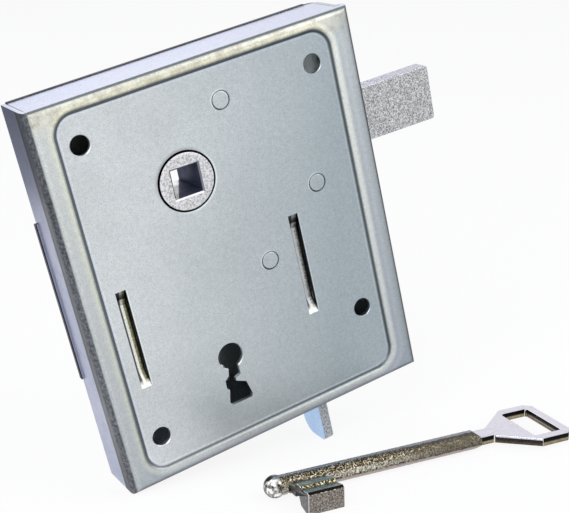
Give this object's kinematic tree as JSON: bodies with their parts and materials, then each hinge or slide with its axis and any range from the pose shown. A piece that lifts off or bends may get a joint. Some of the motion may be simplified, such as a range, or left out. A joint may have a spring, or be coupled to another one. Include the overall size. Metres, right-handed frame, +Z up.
{
  "type": "rim lock",
  "caption": "Flat sheet-metal rim lock with a lifting latch on a square hub, a key-thrown deadbolt, a night bolt with a thumb tab, and its lever key lying beside it.",
  "frame": {"origin": "on the axis of the square hub, in the plane of the door face behind the lock", "axes": "+X towards the bolts and the forend, +Y into the door (the front faces -Y), +Z up on the door"},
  "size_m": [0.131, 0.0584, 0.1435],
  "materials": {
    "zinc_plated_sheet": "bright zinc plating on pressed sheet steel, fine mottled grain, slightly blue",
    "turned_steel": "turned steel, zinc plated",
    "zinc_casting": "rough zinc-plated casting with a speckled surface",
    "spring_steel": "drawn spring steel, lightly oiled",
    "stamped_steel": "stamped steel with a blue zinc plating and rough sheared edges",
    "bright_steel_bar": "bright drawn steel bar",
    "nickel_plated_casting": "nickel-plated casting, grainy shaft, polished ball and smooth bow"
  },
  "bodies": {
    "case": {"case_cover": "zinc_plated_sheet", "base_plate": "zinc_plated_sheet", "latch_spring_post": "turned_steel", "latch_stop_post": "turned_steel", "bolt_guide_post": "turned_steel", "back_plate_screws": "turned_steel", "latch_spring": "spring_steel", "tumbler_spring": "spring_steel", "tumbler_sleeve": "turned_steel", "night_bolt_post": "turned_steel"},
    "latch": {"lifting_latch": "zinc_casting"},
    "deadbolt": {"deadbolt_plate": "stamped_steel", "deadbolt_head": "bright_steel_bar", "deadbolt_rivets": "turned_steel", "deadbolt_stump": "turned_steel"},
    "tumbler": {"tumbler_lever": "stamped_steel"},
    "night_bolt": {"night_bolt": "bright_steel_bar", "night_bolt_tab": "stamped_steel", "night_bolt_leaf": "spring_steel", "night_leaf_rivet": "turned_steel"},
    "key": {"key": "nickel_plated_casting"}
  },
  "joints": [
    {"name": "latch_lift", "type": "hinge", "parent": "case", "child": "latch", "pos_m": [0, 0, 0], "axis": [0, -1, 0], "range_deg": [0, 11], "stiffness_Nm_per_rad": 0.12, "springref_deg": -45.84, "deforming": ["latch_spring"]},
    {"name": "deadbolt_slide", "type": "slide", "parent": "case", "child": "deadbolt", "axis": [1, 0, 0], "range_m": [0, 0.01]},
    {"name": "tumbler_swing", "type": "hinge", "parent": "case", "child": "tumbler", "pos_m": [0.0196, 0, -0.0323], "axis": [0, 1, 0], "range_deg": [0, 12.5], "deforming": ["tumbler_spring"]},
    {"name": "night_bolt_slide", "type": "slide", "parent": "case", "child": "night_bolt", "axis": [1, 0, 0], "range_m": [0, 0.01]},
    {"name": "key_lift", "type": "slide", "parent": "case", "child": "key", "axis": [0.2056, 0, 0.9786], "range_m": [0, 0.04]}
  ],
  "couplings": [
    {"joint": "tumbler_swing", "follows": "deadbolt_slide", "rad_per_m": 20.944}
  ]
}
